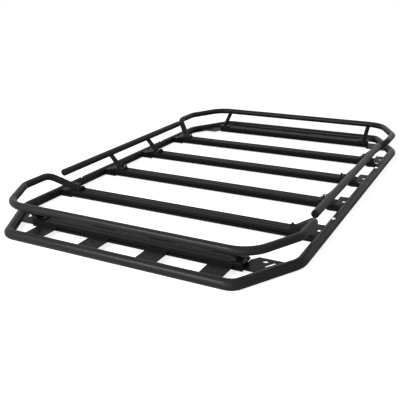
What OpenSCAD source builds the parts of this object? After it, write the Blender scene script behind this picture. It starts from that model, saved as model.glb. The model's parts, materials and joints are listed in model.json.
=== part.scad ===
// Flat platform roof rack: a bent tube perimeter with chamfered corners, six
// extruded crossbars, welded tabs and brackets, and a raised guard rail.
// X runs across the vehicle, Y along it and Z up. The origin is the middle of
// the platform at the underside of the perimeter tube.

/* [Platform] */
// Overall length of the perimeter, outside to outside
platform_length = 1950; // [1800:10:2100]
// Overall width of the perimeter, outside to outside
platform_width = 1212; // [1170:2:1300]
// Outside diameter of the perimeter tube
tube_d = 38; // [34:0.5:42]
// Wall thickness of the perimeter tube
tube_wall = 2.0; // [1.5:0.1:3]
// Run of a chamfered corner across the platform
corner_across = 134; // [120:2:150]
// Run of a chamfered corner along the platform
corner_along = 237; // [210:2:260]
// Centre line radius of the bend between an end and a chamfer
end_bend_r = 45; // [40:1:90]
// Centre line radius of the bend between a chamfer and a side
side_bend_r = 100; // [60:5:170]
// Length of side tube that each bent end section carries
end_section_reach = 60; // [50:5:90]

/* [Crossbars] */
// Clear space between the end tube and the last crossbar
end_gap = 93.5; // [88:0.5:100]
// Width of a crossbar along the platform
bar_w = 57; // [50:1:64]
// Height of a crossbar
bar_h = 28; // [24:0.5:32]
// Wall thickness of the extrusion
bar_wall = 2.2; // [1.8:0.1:2.6]
// Radius of the extrusion's upper corners
bar_edge_r = 4; // [2:0.5:5]
// Gap from the end of a middle crossbar to the side tube's middle line
middle_bar_gap = 47; // [42:1:80]
// Gap from the end of an outer crossbar to the side tube's middle line
end_bar_gap = 152; // [142:1:162]
// Height of the side slot's middle above the underside of the bar
side_slot_z = 12; // [10:0.5:14]
// Height of the mouth of the side slot
side_slot_mouth = 4.5; // [4:0.1:6]
// Height of the nut channel behind the mouth
side_slot_channel = 8.5; // [7:0.1:10]
// Depth of the side slot, mouth and nut channel together
side_slot_depth = 8; // [6:0.5:9]
// Width of the mouth of the underside channel
under_slot_mouth = 10.5; // [8:0.5:12]
// Width of the nut channel over that mouth
under_slot_channel = 19; // [16:0.5:20]
// Height of that nut channel
under_slot_h = 5.5; // [4:0.5:6]
// Depth of the shallow recesses along the top
top_groove_depth = 0.9; // [0.6:0.1:1.2]
// Width of each recess along the top
top_groove_w = 13; // [8:0.5:14]
// Width of the raised band between the two recesses
top_band_w = 12; // [10:0.5:16]

/* [End tabs] */
// Gap from the end of the crossbar to the edge of the outermost tab
tab_end_gap = 34.5; // [24:0.5:45]
// Width of a tab across the platform
tab_w = 81; // [70:1:90]
// Thickness of the tabs, corner plates and brackets
plate_t = 4; // [3:0.5:5]
// Height of the flange that each tab turns up against its crossbar
tab_flange_h = 8; // [6:0.5:10]
// Diameter of a tab's middle hole
tab_hole_d = 9; // [7:0.5:11]
// Diameter of the four holes round it
tab_small_hole_d = 5.5; // [4:0.5:7]
// Spacing of those four holes across the platform
tab_holes_across = 36; // [30:1:40]
// Spacing of those four holes along the platform
tab_holes_along = 32; // [26:1:36]

/* [Corner plates] */
// Reach of a corner plate past the crossbar's middle, towards the middle
corner_plate_reach = 76; // [66:1:84]
// Diameter of the round hole
corner_hole_d = 19; // [12:0.5:20]
// Width of the slot beside the chamfer
corner_slot_w = 12.5; // [8:0.5:14]
// Length of that slot, end to end
corner_slot_l = 47; // [30:1:50]
// Clear distance from the slot's middle line to the tube's surface
corner_slot_inset = 23.5; // [18:0.5:25]
// Distance of the slot's middle from the plate's inner edge
corner_slot_y = 38.5; // [34:0.5:44]
// Cut off corner of the plate next to the crossbar, across the platform
corner_clip_across = 16; // [6:1:20]
// Cut off corner of the plate next to the crossbar, along the platform
corner_clip_along = 26; // [6:1:36]
// Distance across the platform from the crossbar's end to the round hole
corner_hole_gap = 47.5; // [42:0.5:52]
// Distance of the round hole from the plate's inner edge
corner_hole_y = 23; // [18:1:32]

/* [Side brackets] */
// Drop from the top of a crossbar to the top of its bracket
bracket_drop = 4; // [2:0.5:6]
// Reach of a bracket's web at its top, past the end of the bar
web_top = 10; // [6:1:16]
// Reach of a bracket's ear past the side of its crossbar
ear_reach = 48; // [36:1:60]
// Length of the strap notch between a bracket and the side tube
notch_l = 23; // [16:1:30]
// Distance from the side tube's middle line in to the notch's inner edge
notch_inset = 25; // [22:0.5:28]
// Distance along the platform from the bar's middle line to the notch
notch_y = 22; // [14:1:30]
// Radius of the notch's inner corners
notch_r = 6; // [3:0.5:8]
// Length of bracket that laps under its crossbar
bracket_lap = 26; // [18:1:34]
// Distance of the hole for a leg bolt from crossbar 2 or 5, towards the middle
leg_hole_gap = 139; // [100:1:200]
// Diameter of the hole for a leg bolt, through the side tube
leg_hole_d = 8.5; // [6.5:0.5:10]

/* [Guard rail] */
// Outside diameter of the guard rail tube
rail_d = 30; // [26:0.5:32]
// Wall thickness of the guard rail tube
rail_wall = 1.8; // [1.2:0.1:2.5]
// Height of the side rails' middle above the perimeter's underside
rail_z = 106; // [98:1:120]
// Height of the end hoops' middle above the perimeter's underside
hoop_z = 110.5; // [104:0.5:124]
// Distance that an end hoop is set in from the perimeter's middle line
hoop_inset = 52; // [40:1:64]
// Distance that a hoop's side runs are set in from the perimeter's middle line
hoop_side_inset = 4; // [0:1:12]
// Run of a hoop's chamfered corner across the platform
hoop_corner_across = 98; // [90:1:110]
// Run of a hoop's chamfered corner along the platform
hoop_corner_along = 193; // [180:1:210]
// Centre line radius of the bend between a hoop's end run and a chamfer
hoop_end_bend_r = 113; // [60:1:140]
// Centre line radius of the bend between a hoop's chamfer and a side run
hoop_side_bend_r = 70; // [50:1:120]
// Distance that a side rail is set in from the perimeter's middle line
rail_inset = 27.5; // [22:0.5:36]
// Distance from the point where a hoop turns down to the end of a side rail
rail_end_gap = 72; // [58:1:90]
// Distance from the crossbar to the point where a hoop turns down
hoop_turn_y = 80; // [70:1:95]
// Centre line radius of the bend where a hoop turns down to its foot
hoop_leg_bend_r = 60; // [45:1:75]
// Outside diameter of the posts
post_d = 22; // [18:0.5:24]
// Wall thickness of the posts
post_wall = 1.8; // [1.2:0.1:2.5]
// Distance of an end post from the end of its crossbar
end_post_gap = 19; // [14:1:50]

/* [Feet] */
// Distance from the middle of a foot to the end of its crossbar
foot_gap = 40; // [30:1:60]
// Size of a foot across the platform
foot_across = 56; // [50:1:60]
// Size of a foot along the platform
foot_along = 50; // [44:1:54]
// Thickness of a foot
foot_t = 4; // [3:0.5:5]
// Radius of a foot's corners
foot_corner_r = 8; // [4:0.5:12]
// Diameter of the two bolt holes in a foot
foot_hole_d = 6.6; // [5.5:0.1:8.5]
// Spacing of those two holes
foot_hole_pitch = 25; // [18:1:30]
// Spacing of the two bolt holes in the foot of an end post
post_hole_pitch = 38; // [34:1:42]
// Distance of those two holes from the post, towards the middle of the platform
post_hole_y = 16; // [13:0.5:18]
// Width of the tie down lug on a foot
lug_w = 28; // [24:1:32]
// Height of the lug above the foot
lug_h = 12; // [11:0.5:15]
// Width of the eye through the lug
lug_eye_w = 13; // [10:0.5:16]
// Height of that eye
lug_eye_h = 6; // [5:0.5:7]
// Thickness of the lug
lug_t = 4; // [3:0.5:5]

/* [Hidden] */

// Clearance between welded or pushed on pieces that meet on a curve
fit = 0.3;
// A bend is this much fatter than its straights, which run this far into it
bend_swell = 0.2;
bend_lap = 0.5;
// How far a cutter runs past the face that it cuts
past = 1;
finish = [0.13, 0.13, 0.14];
$fn = 64;

// Middle lines of the perimeter
side_x = (platform_width - tube_d) / 2;
end_y = (platform_length - tube_d) / 2;
tube_z = tube_d / 2;
chamfer_end_x = side_x - corner_across;
chamfer_side_y = end_y - corner_along;
splice_y = chamfer_side_y - end_section_reach;
chamfer_way = unit([-corner_across, corner_along]);
chamfer_across = [chamfer_way.y, -chamfer_way.x];
// Distance of the chamfer's middle line from the platform's, at a distance y along it
function chamfer_x(y) = side_x - (y - chamfer_side_y) * corner_across / corner_along;

// Crossbars lie flush with the top of the perimeter
bar_top = tube_d;
bar_bottom = bar_top - bar_h;
last_bar_face_y = end_y - tube_d / 2 - end_gap;
bar_pitch = (2 * last_bar_face_y - bar_w) / 5;
function bar_y(i) = (i - 3.5) * bar_pitch;
middle_bar_end = side_x - middle_bar_gap;
end_bar_end = side_x - end_bar_gap;
function bar_end(i) = (i == 1 || i == 6) ? end_bar_end : middle_bar_end;
leg_hole_y = bar_y(5) - leg_hole_gap;

// Guard rail middle lines
hoop_y = end_y - hoop_inset;
hoop_x = side_x - hoop_side_inset;
rail_x = side_x - rail_inset;
hoop_turn = bar_y(5) + hoop_turn_y;
rail_half_length = hoop_turn - rail_end_gap;
foot_x = middle_bar_end - foot_gap;
foot_top = bar_top + foot_t;
end_post_x = end_bar_end - end_post_gap;

function unit(v) = v / norm(v);
function turn(a, b) = acos(max(-1, min(1, a * b)));

// Straight round bar between two points
module round_bar(p, q, d) {
    v = q - p;
    translate(p)
        rotate([0, acos(v.z / norm(v)), atan2(v.y, v.x)])
            cylinder(d = d, h = norm(v));
}

// Round bar along a line of points, with a circular bend at each inner point
module bent_bar(points, radii, d) {
    last = len(points) - 1;
    way = [for (i = [0:last - 1]) unit(points[i + 1] - points[i])];
    bend = [for (i = [0:last]) (i == 0 || i == last) ? 0 : radii[i] * tan(turn(way[i - 1], way[i]) / 2)];
    cut = [for (i = [0:last]) max(0, bend[i] - bend_lap)];
    for (i = [0:last - 1])
        round_bar(points[i] + way[i] * cut[i], points[i + 1] - way[i] * cut[i + 1], d);
    for (i = [1:last - 1]) {
        a = way[i - 1];
        b = way[i];
        inward = unit(b - a * (a * b));
        axis = cross(a, inward);
        middle = points[i] - a * bend[i] + inward * radii[i];
        multmatrix([
            [-inward.x, a.x, axis.x, middle.x],
            [-inward.y, a.y, axis.y, middle.y],
            [-inward.z, a.z, axis.z, middle.z]])
            rotate_extrude(angle = turn(a, b))
                translate([radii[i], 0])
                    circle(d = d + bend_swell);
    }
}

// Points with both ends pushed outwards, for a bore that runs right through
function run_past(points) = let (last = len(points) - 1) [
    for (i = [0:last])
        i == 0 ? points[0] - unit(points[1] - points[0]) * past
        : i == last ? points[last] + unit(points[last] - points[last - 1]) * past
        : points[i]];

// Bent tube with open ends
module bent_tube(points, radii, d, wall) {
    difference() {
        bent_bar(points, radii, d);
        bent_bar(run_past(points), radii, d - 2 * wall);
    }
}

// Rectangle about the origin with rounded corners
module rounded_plate(size, r) {
    square([size.x, size.y - 2 * r], center = true);
    square([size.x - 2 * r, size.y], center = true);
    for (x = [-1, 1], y = [-1, 1])
        translate([x * (size.x / 2 - r), y * (size.y / 2 - r)])
            circle(r);
}

// Long hole about the origin, along X
module long_hole(w, l) {
    square([l - w, w], center = true);
    for (x = [-1, 1])
        translate([x * (l - w) / 2, 0])
            circle(d = w);
}

// Same thing in the other half, for side -1
module on_side(side) {
    mirror([side < 0 ? 1 : 0, 0, 0])
        children();
}

// Same thing at the other end, for end -1
module on_end(end) {
    mirror([0, end < 0 ? 1 : 0, 0])
        children();
}

// Perimeter: one bent tube round each end and one straight tube along each side
end_section_points = [
    [-side_x, splice_y, tube_z],
    [-side_x, chamfer_side_y, tube_z],
    [-chamfer_end_x, end_y, tube_z],
    [chamfer_end_x, end_y, tube_z],
    [side_x, chamfer_side_y, tube_z],
    [side_x, splice_y, tube_z]];
end_section_radii = [0, side_bend_r, end_bend_r, end_bend_r, side_bend_r, 0];

module end_tube(end) {
    on_end(end)
        color(finish)
            bent_tube(end_section_points, end_section_radii, tube_d, tube_wall);
}

module side_tube(side) {
    on_side(side)
        color(finish)
            difference() {
                bent_tube([[side_x, -splice_y, tube_z], [side_x, splice_y, tube_z]], [0, 0], tube_d, tube_wall);
                for (y = [-leg_hole_y, leg_hole_y])
                    translate([side_x, y, -past])
                        cylinder(d = leg_hole_d, h = tube_d + 2 * past);
            }
}

// Solid stand-in for one corner of the perimeter, to fit a plate against it
module corner_cutter() {
    bent_bar([
        [side_x, splice_y, tube_z],
        [side_x, chamfer_side_y, tube_z],
        [chamfer_end_x, end_y, tube_z]],
        [0, side_bend_r, 0], tube_d + 2 * fit);
}

// Cross-section of the crossbar extrusion, about the middle of its underside
module bar_profile() {
    web_z = side_slot_z + side_slot_channel / 2 + bar_wall;
    inner_w = bar_w - 2 * bar_wall;
    difference() {
        union() {
            translate([-bar_w / 2, 0])
                square([bar_w, bar_h - bar_edge_r]);
            translate([-bar_w / 2 + bar_edge_r, 0])
                square([bar_w - 2 * bar_edge_r, bar_h]);
            for (x = [-1, 1])
                translate([x * (bar_w / 2 - bar_edge_r), bar_h - bar_edge_r])
                    circle(bar_edge_r);
        }
        // upper chamber
        translate([-inner_w / 2, web_z])
            square([inner_w, bar_h - top_groove_depth - bar_wall - web_z]);
        // shallow recesses along the top
        for (x = [-1, 1])
            translate([x * (top_band_w + top_groove_w) / 2, bar_h])
                square([top_groove_w, 2 * top_groove_depth], center = true);
        // slots along both sides
        for (x = [-1, 1]) {
            translate([x * bar_w / 2, side_slot_z])
                square([2 * side_slot_depth, side_slot_mouth], center = true);
            translate([x * (bar_w / 2 - (side_slot_depth + bar_wall) / 2), side_slot_z])
                square([side_slot_depth - bar_wall, side_slot_channel], center = true);
        }
        // channel along the underside
        translate([0, bar_wall / 2])
            square([under_slot_mouth, bar_wall + past], center = true);
        translate([0, bar_wall + under_slot_h / 2])
            square([under_slot_channel, under_slot_h], center = true);
        // middle chamber over the underside channel
        middle_w = bar_w - 2 * side_slot_depth - 2 * bar_wall;
        middle_z = 2 * bar_wall + under_slot_h;
        translate([-middle_w / 2, middle_z])
            square([middle_w, web_z - bar_wall - middle_z]);
    }
}

module crossbar(i) {
    color(finish)
        translate([-bar_end(i), bar_y(i), bar_bottom])
            rotate([90, 0, 90])
                linear_extrude(2 * bar_end(i))
                    bar_profile();
}

// Tab between the end of the perimeter and the last crossbar, with a turned up flange
module end_tab(end, i) {
    middle_y = last_bar_face_y + end_gap / 2;
    pitch = (2 * (end_bar_end - tab_end_gap) - tab_w) / 3;
    on_end(end)
        color(finish)
            translate([(i - 2.5) * pitch, 0, 0]) {
                difference() {
                    translate([-tab_w / 2, last_bar_face_y, tube_z - plate_t / 2])
                        cube([tab_w, end_y - last_bar_face_y, plate_t]);
                    translate([0, middle_y, tube_z - plate_t]) {
                        cylinder(d = tab_hole_d, h = 2 * plate_t);
                        for (x = [-1, 1], y = [-1, 1])
                            translate([x * tab_holes_across / 2, y * tab_holes_along / 2, 0])
                                cylinder(d = tab_small_hole_d, h = 2 * plate_t);
                    }
                    round_bar([-tab_w, end_y, tube_z], [tab_w, end_y, tube_z], tube_d + 2 * fit);
                }
                translate([-tab_w / 2, last_bar_face_y, tube_z + plate_t / 2])
                    cube([tab_w, plate_t, tab_flange_h]);
            }
}

// Plate from the end of the last crossbar to the chamfered corner
module corner_plate(end, side) {
    inner_x = end_bar_end;
    inner_y = bar_y(6) - corner_plate_reach;
    slot_y = inner_y + corner_slot_y;
    slot_x = chamfer_x(slot_y) - (tube_d / 2 + corner_slot_inset) / chamfer_across.x;
    on_end(end)
        on_side(side)
            color(finish)
                difference() {
                    translate([0, 0, tube_z - plate_t / 2])
                        linear_extrude(plate_t)
                            difference() {
                                polygon([
                                    [inner_x, inner_y + corner_clip_along],
                                    [inner_x + corner_clip_across, inner_y],
                                    [side_x, inner_y],
                                    [chamfer_x(last_bar_face_y), last_bar_face_y],
                                    [inner_x, last_bar_face_y]]);
                                translate([slot_x, slot_y])
                                    rotate(atan2(chamfer_way.y, chamfer_way.x))
                                        long_hole(corner_slot_w, corner_slot_l);
                                translate([inner_x + corner_hole_gap, inner_y + corner_hole_y])
                                    circle(d = corner_hole_d);
                            }
                    corner_cutter();
                }
}

// D shaped notch that is open towards +X, with its inner edge on the line x = 0
module strap_notch() {
    translate([notch_r, -notch_l / 2])
        square([notch_inset, notch_l]);
    translate([0, notch_r - notch_l / 2])
        square([notch_inset, notch_l - 2 * notch_r]);
    for (y = [-1, 1])
        translate([notch_r, y * (notch_l / 2 - notch_r)])
            circle(notch_r);
}

// Fabricated end of a middle crossbar: a plate under the bar, a web, and a top plate with an ear
module side_bracket(side, i) {
    web_h = bar_h - bracket_drop - plate_t;
    on_side(side)
        color(finish)
            translate([0, bar_y(i), 0])
                difference() {
                    union() {
                        translate([middle_bar_end - bracket_lap, -bar_w / 2, bar_bottom - plate_t])
                            cube([middle_bar_gap + bracket_lap, bar_w, plate_t]);
                        translate([middle_bar_end, plate_t - bar_w / 2, bar_bottom])
                            rotate([90, 0, 0])
                                linear_extrude(plate_t)
                                    polygon([
                                        [0, 0],
                                        [middle_bar_gap, 0],
                                        [web_top, web_h],
                                        [0, web_h]]);
                        translate([middle_bar_end, -bar_w / 2, bar_bottom + web_h])
                            cube([middle_bar_gap, bar_w + ear_reach, plate_t]);
                    }
                    translate([side_x - notch_inset, notch_y, bar_bottom + web_h - past])
                        linear_extrude(plate_t + 2 * past)
                            strap_notch();
                    round_bar([side_x, -bar_pitch, tube_z], [side_x, bar_pitch, tube_z], tube_d + 2 * fit);
                }
}

// Guard hoop round one end, with a leg down to the second crossbar at each side
hoop_points = [
    [-foot_x, bar_y(5), foot_top],
    [-hoop_x, hoop_turn, hoop_z],
    [-hoop_x, hoop_y - hoop_corner_along, hoop_z],
    [-hoop_x + hoop_corner_across, hoop_y, hoop_z],
    [hoop_x - hoop_corner_across, hoop_y, hoop_z],
    [hoop_x, hoop_y - hoop_corner_along, hoop_z],
    [hoop_x, hoop_turn, hoop_z],
    [foot_x, bar_y(5), foot_top]];
hoop_radii = [0, hoop_leg_bend_r, hoop_side_bend_r, hoop_end_bend_r,
    hoop_end_bend_r, hoop_side_bend_r, hoop_leg_bend_r, 0];

// The legs run past their feet and are trimmed level with them
module guard_hoop(end) {
    leg = unit(hoop_points[0] - hoop_points[1]) * rail_d;
    long_points = [
        for (i = [0:7])
            i == 0 ? hoop_points[0] + leg
            : i == 7 ? hoop_points[7] + [-leg.x, leg.y, leg.z]
            : hoop_points[i]];
    on_end(end)
        color(finish)
            difference() {
                bent_tube(long_points, hoop_radii, rail_d, rail_wall);
                translate([-side_x, 0, foot_top - 2 * rail_d])
                    cube([2 * side_x, end_y, 2 * rail_d]);
            }
}

module guard_rail(side) {
    on_side(side)
        color(finish)
            bent_tube([[rail_x, -rail_half_length, rail_z], [rail_x, rail_half_length, rail_z]],
                [0, 0], rail_d, rail_wall);
}

// Upright lug with an eye for a strap, standing on the plane z = 0 and facing Y
module tie_lug() {
    round_r = lug_h - lug_t;
    translate([0, lug_t / 2, 0])
        rotate([90, 0, 0])
            linear_extrude(lug_t)
                difference() {
                    union() {
                        translate([-lug_w / 2, 0])
                            square([lug_w, lug_h - round_r]);
                        translate([-lug_w / 2 + round_r, 0])
                            square([lug_w - 2 * round_r, lug_h]);
                        intersection() {
                            translate([-lug_w / 2, 0])
                                square([lug_w, lug_h]);
                            for (x = [-1, 1])
                                translate([x * (lug_w / 2 - round_r), lug_h - round_r])
                                    circle(round_r);
                        }
                    }
                    translate([0, lug_h / 2])
                        long_hole(lug_eye_h, lug_eye_w);
                }
}

// Foot on top of a crossbar: a plate with two bolt holes and a tie down lug
module foot(lug_turned) {
    linear_extrude(foot_t)
        difference() {
            rounded_plate([foot_across, foot_along], foot_corner_r);
            for (y = [-1, 1])
                translate([-foot_across / 2 + foot_corner_r + foot_hole_d / 2, y * foot_hole_pitch / 2])
                    circle(d = foot_hole_d);
        }
    if (lug_turned)
        translate([-foot_across / 2 + lug_t / 2, 0, foot_t])
            rotate(90)
                tie_lug();
    else
        translate([-foot_across / 2 + foot_corner_r + lug_w / 2, foot_along / 2 - lug_t / 2, foot_t])
            tie_lug();
}

module hoop_feet(end) {
    for (side = [-1, 1])
        on_side(side)
            color(finish)
                translate([foot_x, end * bar_y(5), bar_top])
                    foot(end < 0);
}

// Post from a foot up to the straight side rail, fitted to the round of the rail
module rail_post(side, i) {
    y = bar_y(i);
    on_side(side)
        color(finish) {
            translate([foot_x, y, bar_top])
                foot(i == 4);
            translate([0, y, 0])
                difference() {
                    fitted_post([foot_x, 0, foot_top], [rail_x, 0, rail_z]);
                    round_bar([rail_x, -post_d, rail_z], [rail_x, post_d, rail_z], rail_d + 2 * fit);
                }
        }
}

// Tube from p up to q, trimmed level at its foot
module fitted_post(p, q) {
    way = unit(q - p);
    difference() {
        bent_tube([p - way * post_d, q], [0, 0], post_d, post_wall);
        translate([p.x - 2 * post_d, p.y - 2 * post_d, p.z - 2 * post_d])
            cube([4 * post_d, 4 * post_d, 2 * post_d]);
    }
}

// Post from the last crossbar out to the hoop
module hoop_post(end, side) {
    on_end(end)
        on_side(side)
            color(finish) {
                difference() {
                    fitted_post([end_post_x, bar_y(6), foot_top], [end_post_x, hoop_y, hoop_z]);
                    round_bar([end_post_x - 2 * post_d, hoop_y, hoop_z],
                        [end_post_x + 2 * post_d, hoop_y, hoop_z], rail_d + 2 * fit);
                }
                translate([end_post_x, bar_y(6), bar_top])
                    linear_extrude(foot_t)
                        difference() {
                            rounded_plate([foot_across, foot_along], foot_corner_r);
                            for (x = [-1, 1])
                                translate([x * post_hole_pitch / 2, -post_hole_y])
                                    circle(d = foot_hole_d);
                        }
            }
}

// Plugs in the open ends of the two straight side rails
module rail_end_caps() {
    plug_d = rail_d - 2 * rail_wall - 2 * fit;
    for (side = [-1, 1], end = [-1, 1])
        on_side(side)
            on_end(end)
                color([0.05, 0.05, 0.05])
                    translate([rail_x, rail_half_length, rail_z])
                        rotate([-90, 0, 0]) {
                            cylinder(d = rail_d, h = rail_wall);
                            translate([0, 0, -rail_d / 2])
                                cylinder(d = plug_d, h = rail_d / 2);
                        }
}

end_tube(-1);  // front_perimeter_tube
end_tube(1);  // rear_perimeter_tube
side_tube(-1);  // left_side_tube
side_tube(1);  // right_side_tube
for (i = [1:6])
    crossbar(i);
for (i = [1:4]) {
    end_tab(-1, i);
    end_tab(1, i);
}
corner_plate(-1, -1);  // front_left_corner_plate
corner_plate(-1, 1);  // front_right_corner_plate
corner_plate(1, -1);  // rear_left_corner_plate
corner_plate(1, 1);  // rear_right_corner_plate
for (i = [2:5]) {
    side_bracket(-1, i);
    side_bracket(1, i);
}
guard_hoop(-1);  // front_guard_hoop
guard_hoop(1);  // rear_guard_hoop
guard_rail(-1);  // left_guard_rail
guard_rail(1);  // right_guard_rail
hoop_feet(-1);  // front_hoop_feet
hoop_feet(1);  // rear_hoop_feet
hoop_post(-1, -1);  // front_left_hoop_post
hoop_post(-1, 1);  // front_right_hoop_post
hoop_post(1, -1);  // rear_left_hoop_post
hoop_post(1, 1);  // rear_right_hoop_post
for (i = [3:4]) {
    rail_post(-1, i);
    rail_post(1, i);
}
rail_end_caps();
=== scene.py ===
# %% [markdown]
# # A flat platform roof rack, dressed for a product picture
#
# The rack itself is already modelled as exact solids: tubes, crossbars, tabs, brackets and a guard rail. Blender's
# share is what a painter and a fitter would add. That is the black powder coat with its fine skin, the weld beads
# along the joints, the bolts, and then a camera and lights like a photographer's white studio.
#
# Every object is in metres. X runs across the vehicle, Y along it and Z up, and the rack lies on the floor at Z = 0.

# %% Load the solids
import json
import math

import bpy
from mathutils import Matrix, Vector


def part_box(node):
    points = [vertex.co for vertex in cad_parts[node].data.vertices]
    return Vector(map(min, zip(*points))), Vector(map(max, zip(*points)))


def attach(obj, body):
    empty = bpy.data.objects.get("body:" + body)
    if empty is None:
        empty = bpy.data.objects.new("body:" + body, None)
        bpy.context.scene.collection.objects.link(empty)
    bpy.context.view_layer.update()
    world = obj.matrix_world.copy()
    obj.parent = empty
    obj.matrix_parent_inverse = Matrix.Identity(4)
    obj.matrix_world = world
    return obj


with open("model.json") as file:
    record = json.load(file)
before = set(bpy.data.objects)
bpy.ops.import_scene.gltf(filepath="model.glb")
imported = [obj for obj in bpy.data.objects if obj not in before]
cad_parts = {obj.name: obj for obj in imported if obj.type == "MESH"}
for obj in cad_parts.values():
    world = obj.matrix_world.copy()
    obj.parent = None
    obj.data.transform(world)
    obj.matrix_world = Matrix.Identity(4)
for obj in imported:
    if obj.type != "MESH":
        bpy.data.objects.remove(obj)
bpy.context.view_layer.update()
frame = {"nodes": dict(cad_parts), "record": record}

# %% [markdown]
# ## The camera
#
# A photograph can be turned back into a camera by matching straight edges whose real directions are known. Here those
# were the end tubes, the crossbars and the side tubes. The match gives the place of the lens, three angles and the
# focal length. Writing the camera's matrix from those angles keeps them readable, where a "look at" constraint would
# hide them.

# %% Place the camera
lens_place = Vector((1.1404, -2.4477, 0.9044))
heading, tilt, roll = -0.489, 0.355, -0.015
focal_in_widths = 1.5305

ahead = Vector((math.sin(heading) * math.cos(tilt), math.cos(heading) * math.cos(tilt), -math.sin(tilt)))
level_right = Vector((math.cos(heading), -math.sin(heading), 0))
level_up = level_right.cross(ahead)
right = level_right * math.cos(roll) + level_up * math.sin(roll)
up = level_up * math.cos(roll) - level_right * math.sin(roll)

camera_data = bpy.data.cameras.new("studio_camera")
film_width_mm = 36
camera_data.sensor_width = film_width_mm
camera_data.lens = film_width_mm * focal_in_widths
camera_data.clip_end = 60
camera = bpy.data.objects.new("studio_camera", camera_data)
camera.matrix_world = Matrix((
    (right.x, up.x, -ahead.x, lens_place.x),
    (right.y, up.y, -ahead.y, lens_place.y),
    (right.z, up.z, -ahead.z, lens_place.z),
    (0, 0, 0, 1)))
bpy.context.scene.collection.objects.link(camera)
bpy.context.scene.camera = camera
print("camera at", tuple(lens_place), "lens", round(camera_data.lens, 1), "mm")

# %% [markdown]
# ## Helpers for node trees
#
# A material or a Geometry Nodes tree is a graph. Two small helpers keep its making short: one adds a node and sets
# its inputs by name, the other joins an output to an input.

# %% Two helpers
def node(tree, kind, values=None, **settings):
    made = tree.nodes.new(kind)
    for name, value in settings.items():
        setattr(made, name, value)
    for name, value in (values or {}).items():
        made.inputs[name].default_value = value
    return made


def wire(tree, out_node, out_name, in_node, in_name):
    tree.links.new(out_node.outputs[out_name], in_node.inputs[in_name])


def maths(tree, operation, first, second):
    made = node(tree, "ShaderNodeMath", operation=operation)
    for place, value in enumerate((first, second)):
        if isinstance(value, (int, float)):
            made.inputs[place].default_value = value
        else:
            tree.links.new(value, made.inputs[place])
    return made.outputs[0]

# %% [markdown]
# ## The powder coat
#
# Powder coat is sprayed on as dust and baked, so it never lies as flat as glass. Close up it has a fine grain, under
# that a slow "orange peel" wave a few millimetres across, and over a whole tube the sheen drifts a little. All three
# are noise at different scales. They belong in one shader group, because the tubes, the extrusions and the plates wear
# the same coat with more or less grain. The group gives out a colour, a roughness and a normal, and the Principled
# shader stays in each material.

# %% Build the powder coat group
coat = bpy.data.node_groups.new("powder_coat", "ShaderNodeTree")
for name, kind, value in (
        ("Place", "NodeSocketVector", (0, 0, 0)),
        ("Pigment", "NodeSocketColor", (0.01, 0.01, 0.011, 1)),
        ("Sheen drift", "NodeSocketFloat", 0.06),
        ("Roughness", "NodeSocketFloat", 0.42),
        ("Grain size", "NodeSocketFloat", 0.0012),
        ("Grain depth", "NodeSocketFloat", 0.00004),
        ("Peel depth", "NodeSocketFloat", 0.00008)):
    socket = coat.interface.new_socket(name=name, in_out="INPUT", socket_type=kind)
    socket.default_value = value
for name, kind in (
        ("Colour", "NodeSocketColor"),
        ("Roughness", "NodeSocketFloat"),
        ("Normal", "NodeSocketVector")):
    coat.interface.new_socket(name=name, in_out="OUTPUT", socket_type=kind)
given = node(coat, "NodeGroupInput")
result = node(coat, "NodeGroupOutput")

grain = node(coat, "ShaderNodeTexNoise", {"Detail": 2.0, "Roughness": 0.6})
wire(coat, given, "Place", grain, "Vector")
coat.links.new(maths(coat, "DIVIDE", 1.0, given.outputs["Grain size"]), grain.inputs["Scale"])
peel = node(coat, "ShaderNodeTexNoise", {"Scale": 210.0, "Detail": 1.0})
wire(coat, given, "Place", peel, "Vector")
drift = node(coat, "ShaderNodeTexNoise", {"Scale": 7.0, "Detail": 3.0, "Roughness": 0.55})
wire(coat, given, "Place", drift, "Vector")

height = maths(coat, "ADD",
    maths(coat, "MULTIPLY", grain.outputs["Fac"], given.outputs["Grain depth"]),
    maths(coat, "MULTIPLY", peel.outputs["Fac"], given.outputs["Peel depth"]))
skin = node(coat, "ShaderNodeBump", {"Strength": 1.0, "Distance": 1.0})
coat.links.new(height, skin.inputs["Height"])
wire(coat, skin, "Normal", result, "Normal")

off_mean = maths(coat, "SUBTRACT", drift.outputs["Fac"], 0.5)
swing = maths(coat, "MULTIPLY", off_mean, given.outputs["Sheen drift"])
speck = maths(coat, "MULTIPLY", maths(coat, "SUBTRACT", grain.outputs["Fac"], 0.5), 0.16)
coat.links.new(maths(coat, "ADD", given.outputs["Roughness"], maths(coat, "ADD", swing, speck)),
    result.inputs["Roughness"])
shade = node(coat, "ShaderNodeHueSaturation")
wire(coat, given, "Pigment", shade, "Color")
coat.links.new(maths(coat, "ADD", 1.0, maths(coat, "MULTIPLY", swing, 4.0)), shade.inputs["Value"])
wire(coat, shade, "Color", result, "Colour")
print("powder coat group:", len(coat.nodes), "nodes")

# %% Mix the three coats and the plug's plastic
def coated(name, pigment, roughness, grain_size, grain_depth, peel_depth, gloss):
    finish = bpy.data.materials.new(name)
    finish.use_nodes = True
    tree = finish.node_tree
    shader = tree.nodes["Principled BSDF"]
    shader.inputs["Specular IOR Level"].default_value = gloss
    place = node(tree, "ShaderNodeTexCoord")
    skin = node(tree, "ShaderNodeGroup", node_tree=coat)
    for socket, value in (("Pigment", (*pigment, 1)), ("Roughness", roughness), ("Grain size", grain_size),
                          ("Grain depth", grain_depth), ("Peel depth", peel_depth)):
        skin.inputs[socket].default_value = value
    wire(tree, place, "Object", skin, "Place")
    wire(tree, skin, "Colour", shader, "Base Color")
    wire(tree, skin, "Roughness", shader, "Roughness")
    wire(tree, skin, "Normal", shader, "Normal")
    return finish


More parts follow.
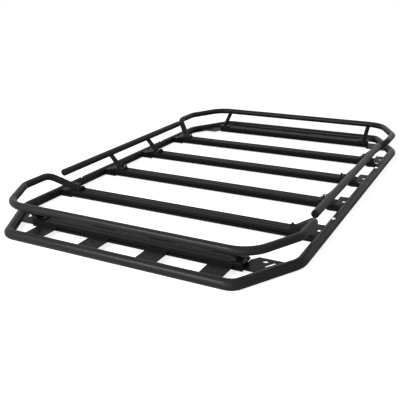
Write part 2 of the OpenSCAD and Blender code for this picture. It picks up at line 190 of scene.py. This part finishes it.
satin_black = coated("satin_black_tube", (0.0130, 0.0126, 0.0140), 0.34, 0.0016, 0.00003, 0.00005, 0.10)
textured_black = coated("textured_black_bar", (0.0085, 0.0082, 0.0092), 0.36, 0.0011, 0.00006, 0.00003, 0.04)
plate_black = coated("textured_black_plate", (0.0085, 0.0082, 0.0092), 0.38, 0.0010, 0.00006, 0.00004, 0.06)
plug_black = coated("moulded_black_plug", (0.0040, 0.0040, 0.0042), 0.58, 0.0008, 0.00005, 0.00002, 0.12)
print("coats:", [m.name for m in (satin_black, textured_black, plate_black, plug_black)])

# %% Dress the solids
coat_of_slot = {"tube": satin_black, "extrusion": textured_black, "bracket": plate_black, "plug": plug_black}
slot_of_node = {part["node"]: part["material_slot"] for part in frame["record"]["subparts"]}
for name, solid in frame["nodes"].items():
    solid.data.materials.clear()
    solid.data.materials.append(coat_of_slot[slot_of_node[name]])
print("dressed", len(frame["nodes"]), "solids")

# %% [markdown]
# ## Sizes that the details need
#
# The details sit on the solids, so their places come from the solids' own boxes. Only what a box can't tell, such as
# a plate's thickness, is written here as a number, the same as in the solid model.

# %% Read the sizes
def corners(name):
    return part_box(name)


tube_low, tube_high = corners("right_side_tube")
tube_r = (tube_high.z - tube_low.z) / 2
tube_z = (tube_high.z + tube_low.z) / 2
side_x = (tube_high.x + tube_low.x) / 2
rail_low, rail_high = corners("right_guard_rail")
rail_r = (rail_high.z - rail_low.z) / 2
rail_x, rail_z = rail_low.x + rail_r, rail_low.z + rail_r
bar_y = [sum(v.y for v in corners(f"crossbar_{i}")) / 2 for i in range(1, 7)]
bar_low, bar_high = corners("crossbar_2")
bar_w, bar_top, bar_end = bar_high.y - bar_low.y, bar_high.z, bar_high.x
bar_face = corners("crossbar_6")[1].y
bar_bottom = bar_low.z
plate = 0.004
foot_top = bar_top + plate
print("tube radius", round(tube_r, 4), "side tube at", round(side_x, 4))
print("bars at", [round(y, 3) for y in bar_y])

# %% Read the places of feet, posts and holes
half_foot, post_r = 0.028, 0.011
foot_inner_x = corners("right_rail_post_3")[0].x
foot_x = foot_inner_x + half_foot
end_post = corners("rear_right_hoop_post")
end_post_x = (end_post[0].x + end_post[1].x) / 2
hoop_high = corners("rear_guard_hoop")[1]
hoop_y, hoop_z = hoop_high.y - rail_r, hoop_high.z - rail_r
leg_bolts = next(m for m in frame["record"]["mounts"] if m["name"] == "leg_bolts")["dims"]
leg_y = leg_bolts["spacing_y_mm"] / 2 / 1000
print("foot at", round(foot_x, 4), "hoop at", round(hoop_y, 4), round(hoop_z, 4))
print("leg bolts at", leg_y)

# %% [markdown]
# ## Bolts
#
# Bolts repeat dozens of times, so one Geometry Nodes tree makes them all. The script only gives it loose points, each
# with the direction that its bolt faces. The tree builds one washer and one head, puts a copy on every point and turns
# it to face that way. The head is a cone with few sides for a hexagon or many for a button head, and a button head
# has a six sided socket cut into it. A head that needs none gets a socket too small to see. The copies are made real
# at the end, because an exporter drops instances.

# %% Build the bolt tree
bolt_tree = bpy.data.node_groups.new("bolt_set", "GeometryNodeTree")
bolt_tree.is_modifier = True
bolt_inputs = {}
for name, kind, value in (
        ("Geometry", "NodeSocketGeometry", None),
        ("Washer radius", "NodeSocketFloat", 0.008),
        ("Washer thickness", "NodeSocketFloat", 0.0014),
        ("Head sides", "NodeSocketInt", 32),
        ("Head radius", "NodeSocketFloat", 0.0065),
        ("Head top radius", "NodeSocketFloat", 0.0045),
        ("Head height", "NodeSocketFloat", 0.0036),
        ("Socket radius", "NodeSocketFloat", 0.0027),
        ("Finish", "NodeSocketMaterial", None)):
    socket = bolt_tree.interface.new_socket(name=name, in_out="INPUT", socket_type=kind)
    if value is not None:
        socket.default_value = value
    bolt_inputs[name] = socket.identifier
bolt_tree.interface.new_socket(name="Geometry", in_out="OUTPUT", socket_type="NodeSocketGeometry")

given = node(bolt_tree, "NodeGroupInput")
result = node(bolt_tree, "NodeGroupOutput")


def raised(height_socket, share=1.0):
    rise = node(bolt_tree, "ShaderNodeCombineXYZ")
    bolt_tree.links.new(maths(bolt_tree, "MULTIPLY", height_socket, share), rise.inputs["Z"])
    return rise


washer = node(bolt_tree, "GeometryNodeMeshCylinder", {"Vertices": 32})
wire(bolt_tree, given, "Washer radius", washer, "Radius")
wire(bolt_tree, given, "Washer thickness", washer, "Depth")
washer_up = node(bolt_tree, "GeometryNodeTransform")
wire(bolt_tree, washer, "Mesh", washer_up, "Geometry")
half_washer = raised(given.outputs["Washer thickness"], 0.5)
wire(bolt_tree, half_washer, "Vector", washer_up, "Translation")

head = node(bolt_tree, "GeometryNodeMeshCone")
wire(bolt_tree, given, "Head sides", head, "Vertices")
wire(bolt_tree, given, "Head top radius", head, "Radius Top")
wire(bolt_tree, given, "Head radius", head, "Radius Bottom")
wire(bolt_tree, given, "Head height", head, "Depth")
hexagon = node(bolt_tree, "GeometryNodeMeshCylinder", {"Vertices": 6})
wire(bolt_tree, given, "Socket radius", hexagon, "Radius")
wire(bolt_tree, given, "Head height", hexagon, "Depth")
hexagon_up = node(bolt_tree, "GeometryNodeTransform")
wire(bolt_tree, hexagon, "Mesh", hexagon_up, "Geometry")
socket_level = raised(given.outputs["Head height"], 0.9)
wire(bolt_tree, socket_level, "Vector", hexagon_up, "Translation")
socketed = node(bolt_tree, "GeometryNodeMeshBoolean", operation="DIFFERENCE")
wire(bolt_tree, head, "Mesh", socketed, "Mesh 1")
wire(bolt_tree, hexagon_up, "Geometry", socketed, "Mesh 2")
head_up = node(bolt_tree, "GeometryNodeTransform")
wire(bolt_tree, socketed, "Mesh", head_up, "Geometry")
whole_washer = raised(given.outputs["Washer thickness"])
wire(bolt_tree, whole_washer, "Vector", head_up, "Translation")

bolt = node(bolt_tree, "GeometryNodeJoinGeometry")
wire(bolt_tree, washer_up, "Geometry", bolt, "Geometry")
wire(bolt_tree, head_up, "Geometry", bolt, "Geometry")
facing = node(
    bolt_tree, "GeometryNodeInputNamedAttribute", {"Name": "facing"}, data_type="FLOAT_VECTOR")
turned = node(bolt_tree, "FunctionNodeAlignRotationToVector", axis="Z")
wire(bolt_tree, facing, "Attribute", turned, "Vector")
copies = node(bolt_tree, "GeometryNodeInstanceOnPoints")
wire(bolt_tree, given, "Geometry", copies, "Points")
wire(bolt_tree, bolt, "Geometry", copies, "Instance")
wire(bolt_tree, turned, "Rotation", copies, "Rotation")
real = node(bolt_tree, "GeometryNodeRealizeInstances")
wire(bolt_tree, copies, "Instances", real, "Geometry")
finished = node(bolt_tree, "GeometryNodeSetMaterial")
wire(bolt_tree, real, "Geometry", finished, "Geometry")
wire(bolt_tree, given, "Finish", finished, "Material")
wire(bolt_tree, finished, "Geometry", result, "Geometry")
print("bolt tree:", len(bolt_tree.nodes), "nodes")

# %% One way to run a tree and keep its mesh
def grown(name, points, edges, tree, inputs, values, attributes=None):
    """Runs a Geometry Nodes tree on loose points or edges and returns its result as a plain object."""
    seed_mesh = bpy.data.meshes.new(name + "_seed")
    seed_mesh.from_pydata([tuple(p) for p in points], edges, [])
    for attribute, vectors in (attributes or {}).items():
        layer = seed_mesh.attributes.new(attribute, "FLOAT_VECTOR", "POINT")
        layer.data.foreach_set("vector", [c for v in vectors for c in v])
    seed = bpy.data.objects.new(name + "_seed", seed_mesh)
    bpy.context.scene.collection.objects.link(seed)
    run = seed.modifiers.new("grow", "NODES")
    run.node_group = tree
    for key, value in values.items():
        run[inputs[key]] = value
    bpy.context.view_layer.update()
    mesh = bpy.data.meshes.new_from_object(seed.evaluated_get(bpy.context.evaluated_depsgraph_get()))
    bpy.data.objects.remove(seed)
    piece = bpy.data.objects.new(name, mesh)
    bpy.context.scene.collection.objects.link(piece)
    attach(piece, "root")
    print(name, len(mesh.polygons), "faces")
    return piece

# %% [markdown]
# ## Two finishes for the bolts
#
# The leg bolts on the side tubes catch the light, so they are bare stainless steel with fine turning marks. All other
# bolts are blackened, and only the edge of a head shines a little.

# %% Mix the bolt finishes
stainless = bpy.data.materials.new("stainless_bolt")
stainless.use_nodes = True
tree = stainless.node_tree
shader = tree.nodes["Principled BSDF"]
shader.inputs["Base Color"].default_value = (0.72, 0.72, 0.71, 1)
shader.inputs["Metallic"].default_value = 1.0
place = node(tree, "ShaderNodeTexCoord")
marks = node(tree, "ShaderNodeTexNoise", {"Scale": 900.0, "Detail": 2.0})
wire(tree, place, "Object", marks, "Vector")
uneven = maths(tree, "MULTIPLY", marks.outputs["Fac"], 0.16)
tree.links.new(maths(tree, "ADD", 0.16, uneven), shader.inputs["Roughness"])
turning = node(tree, "ShaderNodeBump", {"Strength": 0.4, "Distance": 0.00005})
wire(tree, marks, "Fac", turning, "Height")
wire(tree, turning, "Normal", shader, "Normal")
blackened = coated("blackened_bolt", (0.004, 0.004, 0.0044), 0.30, 0.0007, 0.00002, 0.00001, 0.3)
print("bolt finishes:", stainless.name, blackened.name)

# %% Seat the leg bolts
saddle_rise = 0.0004
leg_points = [
    (side * side_x, end * leg_y, tube_z + tube_r + saddle_rise)
    for side in (-1, 1) for end in (-1, 1)]
grown("leg_bolts", leg_points, [], bolt_tree, bolt_inputs,
    {"Washer radius": 0.0085, "Washer thickness": 0.0016, "Head radius": 0.0072, "Head top radius": 0.0052,
     "Head height": 0.0042, "Socket radius": 0.0029, "Finish": stainless},
    {"facing": [(0, 0, 1)] * len(leg_points)})

# %% [markdown]
# A round tube gives a flat washer nothing to sit on, so such a bolt stands on a small saddle. It is a short collar
# whose lower end is sunk into the tube.

# %% Saddles under the leg bolts
sunk = 0.003
saddle_points = [(x, y, tube_z + tube_r - sunk) for x, y, z in leg_points]
saddles = grown("leg_bolt_saddles", saddle_points, [], bolt_tree, bolt_inputs,
    {"Washer radius": 0.0095, "Washer thickness": sunk + saddle_rise, "Head radius": 0.004,
     "Head top radius": 0.004, "Head height": 0.0003, "Socket radius": 0.001, "Finish": plate_black},
    {"facing": [(0, 0, 1)] * len(saddle_points)})

# %% [markdown]
# Each foot has two bolts. At crossbars 2 and 5 the leg of a hoop stands over the hole nearer the middle of the rack,
# so only the other hole of that foot gets a bolt.

# %% Seat the foot bolts
hoop_bars, post_bars = (bar_y[1], bar_y[4]), (bar_y[0], bar_y[5])
foot_hole_in, foot_hole_off = 0.0113, 0.0125
end_hole_off, end_hole_in = 0.019, 0.016
foot_points = [
    (side * (foot_inner_x + foot_hole_in), y + k * foot_hole_off, foot_top)
    for side in (-1, 1) for y in bar_y[1:5] for k in (-1, 1)
    if not (y in hoop_bars and k * y < 0)]
end_foot_points = [
    (side * end_post_x + k * end_hole_off, y - math.copysign(end_hole_in, y), foot_top)
    for side in (-1, 1) for y in post_bars for k in (-1, 1)]
grown("foot_bolts", foot_points + end_foot_points, [], bolt_tree, bolt_inputs,
    {"Washer radius": 0.0064, "Washer thickness": 0.0012, "Head radius": 0.0054, "Head top radius": 0.0038,
     "Head height": 0.0034, "Socket radius": 0.0022, "Finish": blackened},
    {"facing": [(0, 0, 1)] * (len(foot_points) + len(end_foot_points))})

# %% Seat the bracket bolts, under the ends of the middle crossbars
lap_hole_in, lap_hole_off = 0.013, 0.014
lap_points = [
    (side * (bar_end - lap_hole_in), y + k * lap_hole_off, bar_bottom - plate)
    for side in (-1, 1) for y in bar_y[1:5] for k in (-1, 1)]
grown("bracket_bolts", lap_points, [], bolt_tree, bolt_inputs,
    {"Washer radius": 0.0062, "Washer thickness": 0.0010, "Head sides": 6, "Head radius": 0.0056,
     "Head top radius": 0.0056, "Head height": 0.0036, "Socket radius": 0.0006, "Finish": blackened},
    {"facing": [(0, 0, -1)] * len(lap_points)})

# %% [markdown]
# ## Weld beads
#
# A weld bead is a row of overlapping ripples, one for each pulse of the torch. A bead's path is a line of points
# along a joint. The Geometry Nodes tree turns the path into a curve, walks it in steps of one ripple and sets a
# flattened ball at each step, turned along the path. The beads are coated with the rest, so they wear the same black.

# %% Build the weld tree
weld_tree = bpy.data.node_groups.new("weld_bead", "GeometryNodeTree")
weld_tree.is_modifier = True
weld_inputs = {}
for name, kind, value in (
        ("Geometry", "NodeSocketGeometry", None),
        ("Ripple pitch", "NodeSocketFloat", 0.0024),
        ("Ripple radius", "NodeSocketFloat", 0.0022),
        ("Finish", "NodeSocketMaterial", None)):
    socket = weld_tree.interface.new_socket(name=name, in_out="INPUT", socket_type=kind)
    if value is not None:
        socket.default_value = value
    weld_inputs[name] = socket.identifier
weld_tree.interface.new_socket(name="Geometry", in_out="OUTPUT", socket_type="NodeSocketGeometry")
given = node(weld_tree, "NodeGroupInput")
result = node(weld_tree, "NodeGroupOutput")
path = node(weld_tree, "GeometryNodeMeshToCurve")
wire(weld_tree, given, "Geometry", path, "Mesh")
steps = node(weld_tree, "GeometryNodeResampleCurve", mode="LENGTH")
wire(weld_tree, path, "Curve", steps, "Curve")
wire(weld_tree, given, "Ripple pitch", steps, "Length")
ball = node(weld_tree, "GeometryNodeMeshUVSphere", {"Segments": 8, "Rings": 5})
wire(weld_tree, given, "Ripple radius", ball, "Radius")
along = node(weld_tree, "GeometryNodeInputTangent")
turned = node(weld_tree, "FunctionNodeAlignRotationToVector", axis="Z")
wire(weld_tree, along, "Tangent", turned, "Vector")
ripples = node(weld_tree, "GeometryNodeInstanceOnPoints", {"Scale": (1.0, 1.0, 0.8)})
wire(weld_tree, steps, "Curve", ripples, "Points")
wire(weld_tree, ball, "Mesh", ripples, "Instance")
wire(weld_tree, turned, "Rotation", ripples, "Rotation")
real = node(weld_tree, "GeometryNodeRealizeInstances")
wire(weld_tree, ripples, "Instances", real, "Geometry")
soft = node(weld_tree, "GeometryNodeSetShadeSmooth")
wire(weld_tree, real, "Geometry", soft, "Geometry")
finished = node(weld_tree, "GeometryNodeSetMaterial")
wire(weld_tree, soft, "Geometry", finished, "Geometry")
wire(weld_tree, given, "Finish", finished, "Material")
wire(weld_tree, finished, "Geometry", result, "Geometry")
print("weld tree:", len(weld_tree.nodes), "nodes")

# %% [markdown]
# ### Where the beads run
#
# Most beads are straight: along the tabs, the plates and the brackets, where flat metal meets a round tube. A plate
# meets a tube at the height of its face, so the distance from the tube's middle follows from Pythagoras. A bracket's
# bead stops at its strap notch and goes on after it. Each post has a ring at its foot, an ellipse because the post
# leans, and a saddle where it meets the rail.

# %% Straight beads on tabs and brackets
def run_of(start, end):
    return [Vector(start), Vector(end)]


def half_width(radius, rise):
    return math.sqrt(radius ** 2 - rise ** 2)


paths = []
tab_inset, bracket_inset = 0.003, 0.002
notch_low, notch_high = 0.0105, 0.0335
end_y = corners("rear_perimeter_tube")[1].y - tube_r
for end, way in (("front", -1), ("rear", 1)):
    for i in range(1, 5):
        low, high = corners(f"{end}_tab_{i}")
        from_x, to_x = low.x + tab_inset, high.x - tab_inset
        for z in (low.z, low.z + plate):
            weld_y = way * (end_y - half_width(tube_r, z - tube_z))
            paths.append(run_of((from_x, weld_y, z), (to_x, weld_y, z)))
        paths.append(run_of((from_x, way * bar_face, high.z), (to_x, way * bar_face, high.z)))
for side, way in (("left", -1), ("right", 1)):
    for i in range(2, 6):
        low, high = corners(f"{side}_bracket_{i}")
        middle = bar_y[i - 1]
        weld_x = way * (side_x - half_width(tube_r, high.z - tube_z))
        for from_y, to_y in ((low.y, middle + notch_low), (middle + notch_high, high.y)):
            paths.append(run_of(
                (weld_x, from_y + bracket_inset, high.z), (weld_x, to_y - bracket_inset, high.z)))
        weld_x = way * (side_x - half_width(tube_r, bar_bottom - tube_z))
        paths.append(run_of(
            (weld_x, middle - bar_w / 2, bar_bottom), (weld_x, middle + bar_w / 2, bar_bottom)))
print("beads on tabs and brackets:", len(paths))

# %% [markdown]
# A corner plate follows the side tube, its bend and the chamfer, so its outer bead has a straight run, a short cut
# across the bend and a slanted run. The plate's inner edge is welded to the end of the crossbar.

# %% Beads on the corner plates
corner_across, corner_along = 0.134, 0.237
bend_half, plate_inset, inner_start = 0.026, 0.003, 0.030
bend_y = end_y - corner_along
chamfer = Vector((-corner_across, corner_along, 0)).normalized()
off = half_width(tube_r, plate / 2)


def at_chamfer(y):
    """The point at this Y on the chamfer's bead, for the right rear corner."""
    return side_x - off / chamfer.y - (y - bend_y) * corner_across / corner_along, y


for end, way_y in (("front", -1), ("rear", 1)):
    for side, way_x in (("left", -1), ("right", 1)):
        low, high = corners(f"{end}_{side}_corner_plate")
        near_x = min(abs(low.x), abs(high.x))
        near_y, far_y = sorted((abs(low.y), abs(high.y)))
        line = [(side_x - off, near_y + plate_inset), (side_x - off, bend_y - bend_half),
                at_chamfer(bend_y + bend_half), at_chamfer(far_y - plate_inset)]
        for z in (low.z, high.z):
            paths.append([Vector((way_x * x, way_y * y, z)) for x, y in line])
        paths.append(run_of(
            (way_x * near_x, way_y * (near_y + inner_start), high.z),
            (way_x * near_x, way_y * (bar_face - bracket_inset), high.z)))
print("straight beads:", len(paths))

# %% Rings and saddles on the posts
def around(foot, top, radius, rail_axis=None, rail_radius=0.0, steps=40):
    """Points where a leaning tube meets the level of its foot, or the round of a rail through top."""
    way = (top - foot).normalized()
    first = way.cross(Vector((0, 0, 1))).normalized()
    second = way.cross(first)
    found = []
    for k in range(steps):
        turn = 2 * math.pi * k / steps
        edge = foot + first * radius * math.cos(turn) + second * radius * math.sin(turn)
        if rail_axis is None:
            reach = (foot.z - edge.z) / way.z
        else:
            off = (edge - top) - rail_axis * (edge - top).dot(rail_axis)
            run = way - rail_axis * way.dot(rail_axis)
            a, b, c = run.dot(run), 2 * off.dot(run), off.dot(off) - rail_radius ** 2
            reach = (-b - math.sqrt(max(0.0, b * b - 4 * a * c))) / (2 * a)
        found.append(edge + way * reach)
    return found + found[:1]


hoop_side_x = corners("rear_guard_hoop")[1].x - rail_r
hoop_turn_y = 0.080
for side in (-1, 1):
    for y in bar_y[2:4]:
        foot = Vector((side * foot_x, y, foot_top))
        top = Vector((side * rail_x, y, rail_z))
        paths.append(around(foot, top, post_r))
        paths.append(around(foot, top, post_r, Vector((0, 1, 0)), rail_r))
    for y in post_bars:
        foot = Vector((side * end_post_x, y, foot_top))
        top = Vector((side * end_post_x, math.copysign(hoop_y, y), hoop_z))
        paths.append(around(foot, top, post_r))
        paths.append(around(foot, top, post_r, Vector((1, 0, 0)), rail_r))
    for y in hoop_bars:
        foot = Vector((side * foot_x, y, foot_top))
        top = Vector((side * hoop_side_x, y + math.copysign(hoop_turn_y, y), hoop_z))
        paths.append(around(foot, top, rail_r))
print("beads in all:", len(paths))

# %% Grow the beads
weld_points, weld_edges = [], []
for line in paths:
    first = len(weld_points)
    weld_points += line
    weld_edges += [(first + k, first + k + 1) for k in range(len(line) - 1)]
beads = grown("weld_beads", weld_points, weld_edges, weld_tree, weld_inputs,
    {"Ripple pitch": 0.0022, "Ripple radius": 0.0021, "Finish": plate_black})

# %% [markdown]
# ## The studio
#
# The photograph has a pure white ground, dark upper faces and one long highlight on the near tubes, so its light comes
# from the front. A wide lamp low in front lights the faces that look towards the camera, and the key lamp gives the
# highlight. A tube mirrors what lies on the other side of its own square, so with the camera to the right of the rack
# the key lamp hangs to the left. The world and the floor are brighter for the camera than for the object, so that the
# ground stays white without washing out the black.

# %% Floor
floor_half = 9.0
floor_mesh = bpy.data.meshes.new("studio_floor")
floor_corners = [(x * floor_half, y * floor_half, 0) for x, y in ((-1, -1), (1, -1), (1, 1), (-1, 1))]
floor_mesh.from_pydata(floor_corners, [], [(0, 1, 2, 3)])
floor = bpy.data.objects.new("studio_floor", floor_mesh)
bpy.context.scene.collection.objects.link(floor)
paper = bpy.data.materials.new("white_paper")
paper.use_nodes = True
tree = paper.node_tree
shader = tree.nodes["Principled BSDF"]
shader.inputs["Base Color"].default_value = (0.86, 0.86, 0.86, 1)
shader.inputs["Roughness"].default_value = 0.9
shader.inputs["Specular IOR Level"].default_value = 0.0
shader.inputs["Emission Color"].default_value = (1, 1, 1, 1)
ray = node(tree, "ShaderNodeLightPath")
glow = maths(tree, "MULTIPLY", ray.outputs["Is Camera Ray"], 0.82)
tree.links.new(glow, shader.inputs["Emission Strength"])
floor_mesh.materials.append(paper)
print("floor laid")

# %% World
world = bpy.data.worlds.new("studio_world")
bpy.context.scene.world = world
world.use_nodes = True
tree = world.node_tree
tree.nodes.clear()
ray = node(tree, "ShaderNodeLightPath")
seen = maths(tree, "MAXIMUM", ray.outputs["Is Camera Ray"],
    maths(tree, "MAXIMUM", ray.outputs["Is Glossy Ray"], ray.outputs["Is Transmission Ray"]))
plain = node(tree, "ShaderNodeBackground", {"Color": (1, 1, 1, 1), "Strength": 0.22})
white = node(tree, "ShaderNodeBackground", {"Color": (1, 1, 1, 1), "Strength": 1.0})
blend = node(tree, "ShaderNodeMixShader")
tree.links.new(seen, blend.inputs["Fac"])
tree.links.new(plain.outputs[0], blend.inputs[1])
tree.links.new(white.outputs[0], blend.inputs[2])
sky = node(tree, "ShaderNodeOutputWorld")
tree.links.new(blend.outputs[0], sky.inputs["Surface"])
print("world ready")

# %% Lamps
def soft_lamp(name, place, aim, size, power):
    data = bpy.data.lights.new(name, "AREA")
    data.shape = "RECTANGLE"
    data.size, data.size_y = size
    data.energy = power
    lamp = bpy.data.objects.new(name, data)
    lamp.location = place
    lamp.rotation_euler = (Vector(aim) - Vector(place)).to_track_quat("-Z", "Y").to_euler()
    bpy.context.scene.collection.objects.link(lamp)
    return lamp


key_lamp = soft_lamp("key_lamp", (-1.1, -3.0, 1.9), (0.2, -0.8, 0.0), (1.5, 0.8), 115)
front_lamp = soft_lamp("front_lamp", (0.3, -4.2, 0.7), (0.0, -0.5, 0.05), (3.0, 1.0), 60)
print("lamps:", key_lamp.name, front_lamp.name)

# %% Colours as written
scene = bpy.context.scene
scene.view_settings.view_transform = "Standard"
